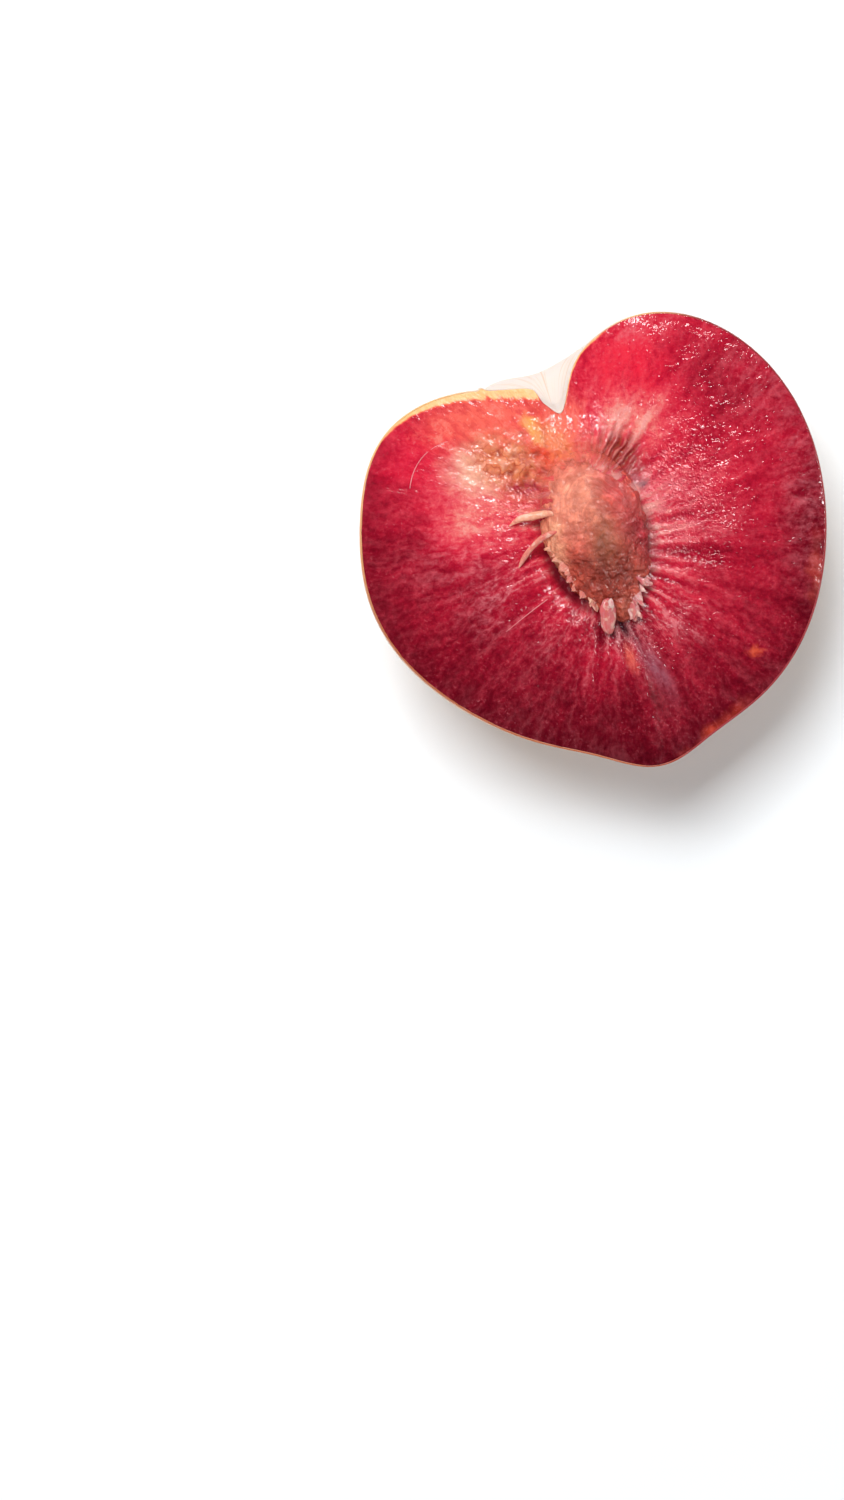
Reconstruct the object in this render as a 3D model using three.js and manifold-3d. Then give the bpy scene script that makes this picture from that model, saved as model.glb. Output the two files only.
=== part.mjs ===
// Half of a red-fleshed, yellow-skinned plum, lying on its rounded back with the cut face up and its
// stone still in place. Millimetres, +Z up. Seen from above, +Y points to the stem end of the fruit.
// The origin is on the small flat that the half rests on, straight below the middle of the cut face.
import * as THREE from "three";
import { mergeVertices } from "three/addons/utils/BufferGeometryUtils.js";
import Module from "manifold-3d";

// Bearings are degrees on the cut face, clockwise from the stem end as seen from above.

// The fruit is a mean radius with rounded swellings and hollows, each with a height and a spread.
const meanRadius = 25;
const swellings = {
  rightShoulder: { bearing: 30, height: 8, spread: 42 },
  rightCheek: { bearing: 122, height: 2, spread: 28 },
  blossomTip: { bearing: 164, height: 2.4, spread: 9.5 },
  leftBelly: { bearing: -98, height: 4.8, spread: 27 },
  leftShoulder: { bearing: -63, height: 3, spread: 14 },
  stemHollow: { bearing: -18, height: -6.8, spread: 15 },
  stemScar: { bearing: -15, height: -4.2, spread: 4 },
};

// How it lies: the cut face leans a little, and the floor takes off the lowest part of the back.
const lean = { bearing: 65, angle: 5 };
const restHeight = 26.1;
const floorSlab = 20;

// The cut face: its edge is rounded over, and the flesh is torn out in a few soft dents.
const rimDrop = 0.7;
const rimSharpness = 9;
const rimFade = 0.2;
const dents = {
  tornFold: { x: 3.3, y: 13, depth: 1.5, spread: 1.7 },
  brownPatch: { x: -11.5, y: 10.8, depth: 0.5, spread: 2.8 },
  stemFlap: { x: -4.8, y: 16.2, depth: 0.8, spread: 2 },
};

// The stone: half sizes across, along and through, with a narrower blossom end and a pitted surface.
const stone = {
  x: -0.3,
  y: 2.3,
  lift: 0.2,
  bearing: -17,
  halfWidth: 6.5,
  halfLength: 10.8,
  halfThickness: 4.9,
  taper: 0.16,
  beak: 1.1,
  beakSharpness: 7,
  pitDepth: 0.3,
};
const pitWaves = [
  new THREE.Vector3(9, 4, 0),
  new THREE.Vector3(0, 7, -5),
  new THREE.Vector3(3, 0, 8),
];
const socketGap = 0.35;

// The flesh sinks round the stone, most on the side that faces away from the stem and to the left.
const moat = { depth: 1.3, reach: 0.28, deepestBearing: -140, evenness: 0.45 };

// Flesh fibres that stay on the stone: a fringe round its blossom end and two longer ones on its left.
const fringe = {
  count: 15,
  firstBearing: 122,
  lastBearing: 268,
  length: [1, 2.6],
  thick: [0.55, 0.95],
  curl: [-0.9, 0.9],
  droop: [0.2, 0.8],
  tip: 0.18,
};
const longFibres = [
  { bearing: -66, length: 3.8, curl: -1.8, droop: 0.5, thick: 0.6, tip: 0.3 },
  { bearing: -81, length: 3.9, curl: -3.8, droop: 0.6, thick: 0.5, tip: 0.22 },
];
const fibreLift = 0.28;
const fibreRoot = 0.8;

// Facets. Bearings crowd together near the stem hollow, where the outline turns sharply.
const fruitSides = 104;
const fruitRows = 30;
const crowding = 0.5;
const stoneSides = 44;
const stoneRows = 22;
const fibreSides = 5;
const fibreSteps = 3;

const wasm = await Module();
wasm.setup();

// A unit vector at a bearing on the cut face, turned back below the face by an angle in radians.
function direction(bearing, back = 0) {
  const flat = Math.cos(back);
  return new THREE.Vector3(Math.sin(bearing) * flat, Math.cos(bearing) * flat, -Math.sin(back));
}

// The distance from the middle of the cut face to the skin.
function fruitRadius(towards) {
  let radius = meanRadius;
  for (const { bearing, height, spread } of Object.values(swellings)) {
    const nearness = towards.dot(direction(THREE.MathUtils.degToRad(bearing))) - 1;
    radius += height * Math.exp(nearness / THREE.MathUtils.degToRad(spread) ** 2);
  }
  return radius;
}

// A point of the cut face in the stone's own frame: x across the stone, y along it to the stem end.
function besideStone(x, y) {
  const turn = THREE.MathUtils.degToRad(stone.bearing);
  const dx = x - stone.x;
  const dy = y - stone.y;
  return {
    across: dx * Math.cos(turn) - dy * Math.sin(turn),
    along: dx * Math.sin(turn) + dy * Math.cos(turn),
  };
}

// How far the flesh sinks round the stone: a soft ring just outside its outline.
function moatDepth(x, y) {
  const { across, along } = besideStone(x, y);
  const outside = Math.hypot(across / stone.halfWidth, along / stone.halfLength) - 1;
  const away = Math.atan2(x - stone.x, y - stone.y) - THREE.MathUtils.degToRad(moat.deepestBearing);
  const share = moat.evenness + (1 - moat.evenness) * (0.5 + 0.5 * Math.cos(away));
  return moat.depth * share * Math.exp(-((outside / moat.reach) ** 2));
}

// The height of the cut face: flat, rounded over at the rim, with the dents and the moat.
function faceHeight(x, y, rimShare) {
  let height = -rimDrop * rimShare ** rimSharpness - moatDepth(x, y);
  for (const dent of Object.values(dents)) {
    const distance = Math.hypot(x - dent.x, y - dent.y);
    height -= dent.depth * Math.exp(-0.5 * (distance / dent.spread) ** 2);
  }
  return height;
}

// A point of the half: the upper side of a ball becomes the cut face, its lower side the skin.
function halfPoint(towards) {
  const hollow = THREE.MathUtils.degToRad(swellings.stemScar.bearing);
  const even = Math.atan2(towards.x, towards.y);
  const bearing = even - crowding * Math.sin(even - hollow);
  const fromTop = Math.acos(THREE.MathUtils.clamp(towards.z, -1, 1));
  const quarter = Math.PI / 2;
  const rimShare = Math.min(fromTop / quarter, 1);
  const back = Math.max(fromTop - quarter, 0);
  const outward = direction(bearing, back);
  const point = outward.clone().multiplyScalar(fruitRadius(outward) * rimShare);
  if (rimShare < 1) point.z = faceHeight(point.x, point.y, rimShare);
  else point.z -= rimDrop * Math.exp(-back / rimFade);
  return point;
}

// A point of the stone in its own frame, grown by a gap for the socket that holds it.
function stonePoint(towards, gap = 0) {
  const { x, y, z } = towards;
  const pits = pitWaves.reduce((product, wave) => product * Math.sin(wave.dot(towards)), 1);
  const narrow = 1 + stone.taper * y;
  const beak = stone.beak * Math.exp(-stone.beakSharpness * (1 + y));
  const grown = gap - stone.pitDepth * pits * (gap ? 0 : 1);
  return new THREE.Vector3(
    x * (stone.halfWidth * narrow + grown),
    y * (stone.halfLength + grown) - beak,
    z * (stone.halfThickness * narrow + grown),
  );
}

// A ball with its poles on Z, each of its points moved by a function.
function shapedBall(sides, rows, pointAt) {
  const ball = new THREE.SphereGeometry(1, sides, rows).rotateX(Math.PI / 2);
  const positions = ball.attributes.position;
  const towards = new THREE.Vector3();
  for (let i = 0; i < positions.count; i++) {
    const moved = pointAt(towards.fromBufferAttribute(positions, i).normalize());
    positions.setXYZ(i, moved.x, moved.y, moved.z);
  }
  return ball;
}

// A tapered strand along a bent line, from a thick root to a thin tip.
function strand(root, bend, end, thick, tip) {
  const line = new THREE.QuadraticBezierCurve3(root, bend, end);
  const rod = new THREE.CylinderGeometry(tip, thick, 1, fibreSides, fibreSteps);
  const up = new THREE.Vector3(0, 0, 1);
  const positions = rod.attributes.position;
  for (let i = 0; i < positions.count; i++) {
    const share = positions.getY(i) + 0.5;
    const along = line.getTangent(share);
    const side = new THREE.Vector3().crossVectors(along, up).normalize();
    const over = new THREE.Vector3().crossVectors(side, along);
    const moved = line.getPoint(share);
    moved.addScaledVector(side, positions.getX(i));
    moved.addScaledVector(over, positions.getZ(i));
    positions.setXYZ(i, moved.x, moved.y, moved.z);
  }
  return rod;
}

// A fibre that leaves the stone's upper flank at a bearing, droops outwards and curls sideways.
function fibre({ bearing, length, curl, droop, thick, tip }) {
  const out = direction(THREE.MathUtils.degToRad(bearing));
  const sideways = new THREE.Vector3(out.y, -out.x, 0);
  const flank = stonePoint(new THREE.Vector3(out.x, out.y, fibreLift).normalize());
  const root = flank.clone().addScaledVector(out, -fibreRoot);
  const bend = flank.clone().addScaledVector(out, length / 2);
  const end = flank.clone().addScaledVector(out, length).addScaledVector(sideways, curl);
  end.z -= droop;
  return strand(root, bend, end, thick, tip);
}

// A fixed draw between two limits for one fibre of the fringe, so that its fibres come out uneven.
function draw(index, [low, high], kind) {
  const scrambled = Math.sin(index * 12.9898 + kind * 78.233) * 43758.5453;
  return low + (high - low) * (scrambled - Math.floor(scrambled));
}

// The fringe's fibres, a step apart round the blossom end of the stone.
function fringeFibres() {
  const step = (fringe.lastBearing - fringe.firstBearing) / (fringe.count - 1);
  return Array.from({ length: fringe.count }, (_, index) =>
    fibre({
      bearing: fringe.firstBearing + index * step + draw(index, [-step / 3, step / 3], 0),
      length: draw(index, fringe.length, 1),
      thick: draw(index, fringe.thick, 2),
      curl: draw(index, fringe.curl, 3),
      droop: draw(index, fringe.droop, 4),
      tip: fringe.tip,
    }),
  );
}

// A closed geometry as a solid that can be joined and cut.
function solidOf(geometry) {
  const shell = geometry.clone();
  shell.deleteAttribute("normal");
  shell.deleteAttribute("uv");
  const merged = mergeVertices(shell);
  const triVerts = new Uint32Array(merged.index.array);
  const vertProperties = merged.attributes.position.array;
  return new wasm.Manifold(new wasm.Mesh({ numProp: 3, vertProperties, triVerts }));
}

// A solid as a named mesh with its material.
function meshOf(name, solid, material) {
  const { vertProperties, triVerts } = solid.getMesh();
  const geometry = new THREE.BufferGeometry();
  geometry.setAttribute("position", new THREE.BufferAttribute(vertProperties, 3));
  geometry.setIndex(new THREE.BufferAttribute(triVerts, 1));
  geometry.computeVertexNormals();
  const mesh = new THREE.Mesh(geometry, new THREE.MeshStandardMaterial(material));
  mesh.name = name;
  return mesh;
}

// The stone's frame on the cut face: turned along the fruit and lifted a little out of it.
function stonePlace() {
  const turn = new THREE.Matrix4().makeRotationZ(-THREE.MathUtils.degToRad(stone.bearing));
  return turn.setPosition(stone.x, stone.y, stone.lift);
}

// The half leans about a level line across its cut face.
function leanedGroup() {
  const group = new THREE.Group();
  const bearing = THREE.MathUtils.degToRad(lean.bearing);
  const axis = new THREE.Vector3(-Math.cos(bearing), Math.sin(bearing), 0);
  group.quaternion.setFromAxisAngle(axis, THREE.MathUtils.degToRad(lean.angle));
  group.position.z = restHeight;
  group.updateMatrix();
  return group;
}

// Flesh and skin in one: the half fruit, less the floor under it and the socket of the stone.
function fleshMesh(group) {
  const fruit = solidOf(shapedBall(fruitSides, fruitRows, halfPoint));
  const width = 4 * meanRadius;
  const slab = new THREE.BoxGeometry(width, width, floorSlab).translate(0, 0, -floorSlab / 2);
  slab.applyMatrix4(group.matrix.clone().invert());
  const socket = shapedBall(stoneSides, stoneRows, (towards) => stonePoint(towards, socketGap));
  socket.applyMatrix4(stonePlace());
  const flesh = fruit.subtract(solidOf(slab)).subtract(solidOf(socket));
  return meshOf("plum_flesh", flesh, { color: 0xb3263c, roughness: 0.35, metalness: 0 });
}

// The stone with the fibres that cling to it.
function stoneMesh() {
  let kernel = solidOf(shapedBall(stoneSides, stoneRows, (towards) => stonePoint(towards)));
  for (const rod of [...fringeFibres(), ...longFibres.map(fibre)]) kernel = kernel.add(solidOf(rod));
  const mesh = meshOf("plum_stone", kernel, { color: 0xb56a55, roughness: 0.5, metalness: 0 });
  mesh.applyMatrix4(stonePlace());
  return mesh;
}

const plumHalf = new THREE.Group();
const leaned = leanedGroup();
leaned.add(fleshMesh(leaned), stoneMesh());
plumHalf.add(leaned);

export default plumHalf;
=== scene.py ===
# A plum half and its stone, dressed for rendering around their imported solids.
import itertools
import math

import bpy
import numpy as np
from mathutils import Matrix, Vector


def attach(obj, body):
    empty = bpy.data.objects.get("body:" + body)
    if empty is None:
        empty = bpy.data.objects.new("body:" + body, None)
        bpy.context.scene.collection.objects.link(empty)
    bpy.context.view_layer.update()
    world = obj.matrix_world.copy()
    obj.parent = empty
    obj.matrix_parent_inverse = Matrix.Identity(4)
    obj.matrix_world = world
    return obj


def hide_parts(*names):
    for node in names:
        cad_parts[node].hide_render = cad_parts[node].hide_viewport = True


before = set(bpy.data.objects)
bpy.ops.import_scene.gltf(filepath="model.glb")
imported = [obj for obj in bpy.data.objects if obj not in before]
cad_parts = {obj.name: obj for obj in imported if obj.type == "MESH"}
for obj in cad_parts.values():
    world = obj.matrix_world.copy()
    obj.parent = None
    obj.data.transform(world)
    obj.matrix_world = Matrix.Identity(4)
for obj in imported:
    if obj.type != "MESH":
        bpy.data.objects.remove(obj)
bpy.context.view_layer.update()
print("frame loaded:", ", ".join(sorted(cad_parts)))

mm = 0.001

# where the middle of the cut face stands in the 844 x 1500 picture, and its scale there
photo = {"width": 844, "height": 1500, "faceMiddle": (599.6, 550.9), "pixelsPerMm": 7.86}

# the half fruit on its own cut face, in mm: x right, y to the stem end, z out of the face
fruit = {
    "meanRadius": 25.0,
    "swellings": {  # bearing clockwise from the stem end, height in mm, spread in degrees
        "rightShoulder": (30, 8.0, 42),
        "rightCheek": (122, 2.0, 28),
        "blossomTip": (164, 2.4, 9.5),
        "leftBelly": (-98, 4.8, 27),
        "leftShoulder": (-63, 3.0, 14),
        "stemHollow": (-18, -6.8, 15),
        "stemScar": (-15, -4.2, 4),
    },
    "leanBearing": 65,
    "leanAngle": 5,
    "restHeight": 26.1,
    "rimDrop": 0.25,
    "rimSharpness": 16,
    "rimFade": 0.2,
    "crowding": 0.5,  # columns crowd together towards the stem scar
}

stone = {
    "middle": (-0.3, 2.3),
    "lift": 0.2,
    "bearing": -17,
    "halfWidth": 6.5,
    "halfLength": 10.8,
    "halfThickness": 4.9,
    "taper": 0.16,
    "beak": 0.9,
    "beakSharpness": 4,
    "pointed": 0.3,
}


# sRGB as picked from a picture, 0 to 255, to the linear colour of a surface lit at this level
lightLevel = 1.15


def tint(red, green, blue):
    shares = np.array([red, green, blue]) / 255
    linear = np.where(shares <= 0.04045, shares / 12.92, ((shares + 0.055) / 1.055) ** 2.4)
    return (*np.minimum(linear / lightLevel, 1.0), 1.0)


# shared shapes

noiseDraw = np.random.default_rng(19)
latticeOrder = np.tile(noiseDraw.permutation(256), 2)
latticeSlopes = noiseDraw.normal(size=(256, 3))
latticeSlopes /= np.linalg.norm(latticeSlopes, axis=1, keepdims=True)


# smooth noise from about -1 to 1: every whole-number point has a random slope, and the eight slopes
# round a place are blended with the ease 6t^5 - 15t^4 + 10t^3
def slopeNoise(places):
    cell = np.floor(places).astype(int)
    part = places - cell
    ease = part**3 * (part * (part * 6 - 15) + 10)
    total = np.zeros(places.shape[:-1])
    for corner in itertools.product((0, 1), repeat=3):
        at = (cell + corner) & 255
        pick = latticeOrder[latticeOrder[latticeOrder[at[..., 0]] + at[..., 1]] + at[..., 2]]
        rise = (latticeSlopes[pick] * (part - corner)).sum(-1)
        total += rise * np.where(corner, ease, 1 - ease).prod(-1)
    return total * 1.6


# octaves of smooth noise, each twice as fine and half as high as the one before
def roughNoise(places, octaves):
    return sum(slopeNoise(places * 2**k + 17.3 * k) / 2**k for k in range(octaves))


# numbers and arrays side by side, as the parts of vectors
def stack(*parts):
    return np.stack(np.broadcast_arrays(*parts), -1)


# 1 at a point of the face, fading as exp(-d^2 / 2) with d counted in half sizes along turned axes
def softSpot(x, y, middle, size, turn=0.0):
    cosTurn, sinTurn = math.cos(math.radians(turn)), math.sin(math.radians(turn))
    dx, dy = x - middle[0], y - middle[1]
    alongX = (dx * cosTurn + dy * sinTurn) / size[0]
    alongY = (dy * cosTurn - dx * sinTurn) / size[1]
    return np.exp(-0.5 * (alongX**2 + alongY**2))


# rises from 0 at one value to 1 at another as 3t^2 - 2t^3
def smoothStep(values, start, stop):
    t = np.clip((values - start) / (stop - start), 0, 1)
    return t * t * (3 - 2 * t)


# 0 before the first value, 1 from the second to the third, 0 after the fourth
def plateau(values, low, lowFull, highFull, high):
    return smoothStep(values, low, lowFull) * (1 - smoothStep(values, highFull, high))


# the half leans about a level line, then stands at its rest height; mm on the face to metres
def toWorld(points):
    bearing = math.radians(fruit["leanBearing"])
    axis = Vector((-math.cos(bearing), math.sin(bearing), 0))
    lean = np.array(Matrix.Rotation(math.radians(fruit["leanAngle"]), 3, axis))
    return (points @ lean.T + (0, 0, fruit["restHeight"])) * mm


# unit vector at a bearing on the face, turned back below it by an angle
def direction(bearing, back=0.0):
    flat = np.cos(back)
    return stack(np.sin(bearing) * flat, np.cos(bearing) * flat, -np.sin(back))


# distance from the middle of the face to the skin: the mean radius plus, for every swelling,
# height * exp((cosine of the angle to it - 1) / spread^2)
def fruitRadius(towards):
    radius = np.full(towards.shape[:-1], fruit["meanRadius"])
    for bearing, height, spread in fruit["swellings"].values():
        cosine = towards @ direction(math.radians(bearing))
        radius += height * np.exp((cosine - 1) / math.radians(spread) ** 2)
    return radius


# the skin's torn step beside the stem hollow, in mm: proud on one side of it, short on the other
skinTear = {"bearing": -21.4, "step": 0.75, "sharpness": 0.5, "reach": 7.0, "depth": 0.05}


def tearStep(bearing, back):
    past = (np.degrees(bearing) - skinTear["bearing"] + 180) % 360 - 180
    step = -np.tanh(past / skinTear["sharpness"]) * np.exp(-np.abs(past) / skinTear["reach"])
    return skinTear["step"] * step * np.exp(-back / skinTear["depth"])


# even bearings all round, crowded towards the stem scar as b - crowding * sin(b - scar)
def crowdedBearings(count):
    even = np.linspace(-math.pi, math.pi, count, endpoint=False)
    scar = math.radians(fruit["swellings"]["stemScar"][0])
    return even - fruit["crowding"] * np.sin(even - scar)


# across and along the stone for a place on the face
def besideStone(x, y):
    turn = math.radians(stone["bearing"])
    dx, dy = x - stone["middle"][0], y - stone["middle"][1]
    across = dx * math.cos(turn) - dy * math.sin(turn)
    along = dx * math.sin(turn) + dy * math.cos(turn)
    return across, along


# the stone's own points to the face: turned to its bearing and lifted
def fromStone(points):
    turn = math.radians(stone["bearing"])
    x = points[..., 0] * math.cos(turn) + points[..., 1] * math.sin(turn)
    y = points[..., 1] * math.cos(turn) - points[..., 0] * math.sin(turn)
    return stack(x + stone["middle"][0], y + stone["middle"][1], points[..., 2] + stone["lift"])


# lines that leave the stone square to its outline: with the outline as an ellipse of focal distance f,
# arccosh((along + i across) / f) gives the ring as its real part and the line's angle as its imaginary part
def stoneFlow(across, along):
    focal = math.sqrt(stone["halfLength"] ** 2 - stone["halfWidth"] ** 2)
    turned = np.arccosh((along + 1j * across) / focal)
    return turned.real, turned.imag


firstRing = math.atanh(stone["halfWidth"] / stone["halfLength"])  # the ring that is the stone's outline


# the two parameters of every point of a closed sleeve: one point for the first row, a ring of columns for
# every row between, and one point for the last row
def sleeveParameters(rows, columns):
    rowOf = np.concatenate([rows[:1], np.repeat(rows[1:-1], len(columns)), rows[-1:]])
    columnOf = np.concatenate([columns[:1], np.tile(columns, len(rows) - 2), columns[:1]])
    return rowOf, columnOf


# faces of a number of such sleeves, counted on from a first point: triangles at both ends, and quads from
# each ring to the next
def sleeveFaces(count, rings, columns, first=0):
    size = rings * columns + 2
    ring, column = np.meshgrid(np.arange(rings - 1), np.arange(columns), indexing="ij")
    after = (column + 1) % columns
    low, high = 1 + ring * columns, 1 + (ring + 1) * columns
    quads = np.stack([low + column, high + column, high + after, low + after], -1).reshape(-1, 4)
    around = np.arange(columns)
    onward = (around + 1) % columns
    lastRing = 1 + (rings - 1) * columns
    firstEnd = stack(0, 1 + around, 1 + onward)
    lastEnd = stack(lastRing + around, size - 1, lastRing + onward)
    starts = first + np.arange(count) * size
    triangles = np.concatenate([firstEnd, lastEnd])
    allTriangles = (triangles + starts[:, None, None]).reshape(-1, 3)
    allQuads = (quads + starts[:, None, None]).reshape(-1, 4)
    return allTriangles.tolist() + allQuads.tolist()


# a piece from face points in mm, its faces, and a value or vector on every point for its material
def makePiece(name, points, faces, attributes, material, node):
    world = toWorld(points)
    world[:, 2] = np.maximum(world[:, 2], 0)  # the small flat that it rests on
    mesh = bpy.data.meshes.new(name)
    mesh.from_pydata(world.tolist(), [], faces)
    for label, values in attributes.items():
        kind, field = ("FLOAT", "value") if values.ndim == 1 else ("FLOAT_VECTOR", "vector")
        layer = mesh.attributes.new(label, kind, "POINT")
        layer.data.foreach_set(field, values.astype(np.float32).ravel())
    mesh.shade_smooth()
    mesh.materials.append(material)
    piece = bpy.data.objects.new(name, mesh)
    bpy.context.scene.collection.objects.link(piece)
    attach(piece, "root")
    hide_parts(node)
    print(f"{name}: {len(points)} points, {len(faces)} faces")


# shader maths

# one output socket of a node tree; sums and products of sockets and numbers become Math nodes
class Socket:
    def __init__(self, tree, socket=None):
        self.tree = tree
        self.socket = socket

    # a node of any type: its settings first, then numbers or sockets for its inputs
    def add(self, kind, settings=None, inputs=None, out=0):
        node = self.tree.nodes.new("ShaderNode" + kind)
        for name, setting in (settings or {}).items():
            if name == "stops":
                elements = node.color_ramp.elements
                elements.remove(elements[0])
                elements[0].position, elements[0].color = setting[0]
                for place, colour in setting[1:]:
                    elements.new(place).color = colour
            else:
                setattr(node, name, setting)
        for name, value in (inputs or {}).items():
            if isinstance(value, Socket):
                self.tree.links.new(value.socket, node.inputs[name])
            else:
                node.inputs[name].default_value = value
        return Socket(self.tree, node.outputs[out] if node.outputs else None)

    def maths(self, operation, first, second=0.0):
        return self.add("Math", {"operation": operation}, {0: first, 1: second})

    def __add__(self, other):
        return self.maths("ADD", self, other)

    __radd__ = __add__

    def __sub__(self, other):
        return self.maths("SUBTRACT", self, other)

    def __rsub__(self, other):
        return self.maths("SUBTRACT", other, self)

    def __mul__(self, other):
        return self.maths("MULTIPLY", self, other)

    __rmul__ = __mul__

    # 0 below one value, 1 above another, smooth between
    def step(self, start, stop):
        return self.add(
            "MapRange",
            {"interpolation_type": "SMOOTHSTEP"},
            {"Value": self, "From Min": start, "From Max": stop},
        )

    # a colour between stops, picked by this value
    def ramp(self, stops):
        return self.add("ValToRGB", {"stops": stops}, {0: self})

    # one colour mixed towards another by a factor
    def mixed(self, first, second, factor, blend="MIX"):
        settings = {"data_type": "RGBA", "blend_type": blend, "clamp_factor": True}
        return self.add("Mix", settings, {0: factor, 6: first, 7: second}, out=2)

    # a ground colour under layers of paint, each with the share of it that shows
    def painted(self, ground, layers):
        for paint, share in layers:
            ground = self.mixed(ground, tint(*paint), share)
        return ground

    def part(self, axis):
        return self.add("SeparateXYZ", {}, {0: self}, out=axis)

    def scaled(self, factors):
        return self.add("VectorMath", {"operation": "MULTIPLY"}, {0: self, 1: factors})

    def noise(self, scale, detail=2.0, roughness=0.5, out=0):
        inputs = {"Vector": self, "Scale": scale, "Detail": detail, "Roughness": roughness}
        return self.add("TexNoise", {}, inputs, out=out)

    # stretched, then turned askew so that the noise read from it has no rows along its axes
    def drawn(self, factors):
        return self.add("Mapping", {}, {"Vector": self, "Rotation": (0.7, 0.5, 0.9), "Scale": factors})

    # this place pushed about by noise of a size, by up to half an amount each way
    def wandering(self, scale, amount, third=0.0):
        noise = self.noise(scale, out=1)
        push = self.add("VectorMath", {"operation": "SUBTRACT"}, {0: noise, 1: (0.5, 0.5, 0.5)})
        return self.add(
            "VectorMath", {"operation": "MULTIPLY_ADD"}, {0: push, 1: (amount, amount, third), 2: self}
        )

    # 1 at the middle of an ellipse of half sizes turned by degrees, falling to 0 at its edge
    def spot(self, middle, size, turn=0):
        local = self.add(
            "Mapping",
            {"vector_type": "TEXTURE"},
            {
                "Vector": self,
                "Location": (*middle, 0),
                "Rotation": (0, 0, math.radians(turn)),
                "Scale": (*size, 1),
            },
        )
        reach = self.add("VectorMath", {"operation": "LENGTH"}, {0: local}, out="Value")
        return reach.step(1.0, 0.0)


# an empty material, and a start for its nodes
def newMaterial(name):
    material = bpy.data.materials.new(name)
    material.use_nodes = True
    material.node_tree.nodes.clear()
    return material, Socket(material.node_tree)


# a value or vector that a piece carries on its points
def attribute(nodes, name, out):
    return nodes.add("Attribute", {"attribute_name": name}, out=out)


# a Principled surface with these inputs, joined to the output
def dress(nodes, inputs):
    shader = nodes.add("BsdfPrincipled", {}, inputs)
    nodes.add("OutputMaterial", {}, {"Surface": shader})


seepReach = 0.0006  # how far light runs below a moist surface, in metres


# a moist surface: a bump from a height, of a depth in metres, and light that seeps below by shares of red,
# green and blue
def dressMoist(nodes, look, colour, roughness, height):
    bump = {"Strength": look["bump"], "Distance": look["bumpDepth"], "Height": height}
    dress(nodes, {
        "Base Color": colour,
        "Roughness": roughness,
        "Normal": nodes.add("Bump", {}, bump, out="Normal"),
        "IOR": look["ior"],
        "Subsurface Weight": look["seep"],
        "Subsurface Radius": look["seepShares"],
        "Subsurface Scale": seepReach,
    })


# flesh: the cut face, rounded over at the rim, sunk and raised round the stone, torn in places

flesh = {
    "columns": 590,
    "underRows": 6,
    "rimRows": 4,
    "faceRows": 148,
    "middleRows": 8,
    "skinThickness": 0.24,
    "underSkin": 0.12,
    "moatDepth": 1.1,
    "moatReach": 0.22,
    "moatBearing": -135,
    "moatSpread": 55,
    "moatRise": 0.2,
    "socketGap": 0.3,
    "socketWidth": 1.12,
    "coverThickness": 0.06,
    "ridgeHeight": 0.5,
    "ridgesRound": 7,
    "fineRidgeHeight": 0.08,
    "fineRidgesRound": 16,
    "ridgeReach": 0.55,
    "calmPlace": ((-3.5, 14), (4.5, 4)),  # middle and half sizes of a place by the stem with low ridges
    "foldsRound": 62,
    "foldWander": 2.6,
    "foldSize": 2.2,
    "foldHeight": 0.42,
    "ragSize": 1.3,
    "patchRags": 0.4,
    "collarRags": 0.3,
    "waveHeight": 0.22,
    "waveLength": 9.0,
    "grainHeight": 0.015,
    "grainSize": 0.8,
}
dents = {  # middle, half sizes, turn, depth
    "tornFold": ((2.2, 12.8), (2.4, 2.8), -24, 0.7),
    "brownPatch": ((-11.6, 10.8), (4.8, 2.8), -20, 0.4),
    "stemFlap": ((-4.8, 16.2), (2.0, 2.2), 0, 0.5),
    "leftHollowAndShade": ((-8.8, 7.8), (2.2, 0.9), -20, 0.4),
    "collar": ((-3.6, 13.0), (5.2, 2.6), 17, -0.9),
    "collarRight": ((2.6, 10.0), (4.4, 1.5), -45, -0.6),
    "collarLeft": ((-6.8, 8.4), (3.2, 1.2), 75, -0.5),
}
band = {"start": -72, "full": -30, "stop": -21.6, "fadeIn": 20, "fadeOut": 0.8, "width": 1.5, "drop": 0.08}
flankBand = {"bearings": (-14.5, -12, -4, 6), "width": 0.4}
bandEdge = (0.4, 1.6)  # a band is full up to the first share of its width, and gone at the second
strip = {"bearings": (-160, -138, -85, -48), "width": 0.1, "depth": 0.06}
nub = {"bearing": -36.2, "height": 0.4, "spread": 0.7, "depth": 0.03}
hollowBack = {"bearing": -28, "height": 1.5, "spread": 9, "depth": 0.36, "reach": 0.22}


# depth of the ring round the stone, sunk about its deepest bearing and a little raised elsewhere
def moatDepth(x, y, across, along):
    outside = np.hypot(across / stone["halfWidth"], along / stone["halfLength"]) - 1
    away = np.arctan2(x - stone["middle"][0], y - stone["middle"][1]) - math.radians(flesh["moatBearing"])
    away = (away + math.pi) % (2 * math.pi) - math.pi
    share = np.exp(-((away / math.radians(flesh["moatSpread"])) ** 2)) - flesh["moatRise"]
    return flesh["moatDepth"] * share * np.exp(-((outside / flesh["moatReach"]) ** 2))


# flesh that still clings to the stone: past a line across the right of its stem end, and in a margin on
# the left
cling = {"line": 8.8, "slope": 0.92, "left": -0.6, "margin": 0.93, "rags": 0.8, "ragSize": 1.3}


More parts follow.
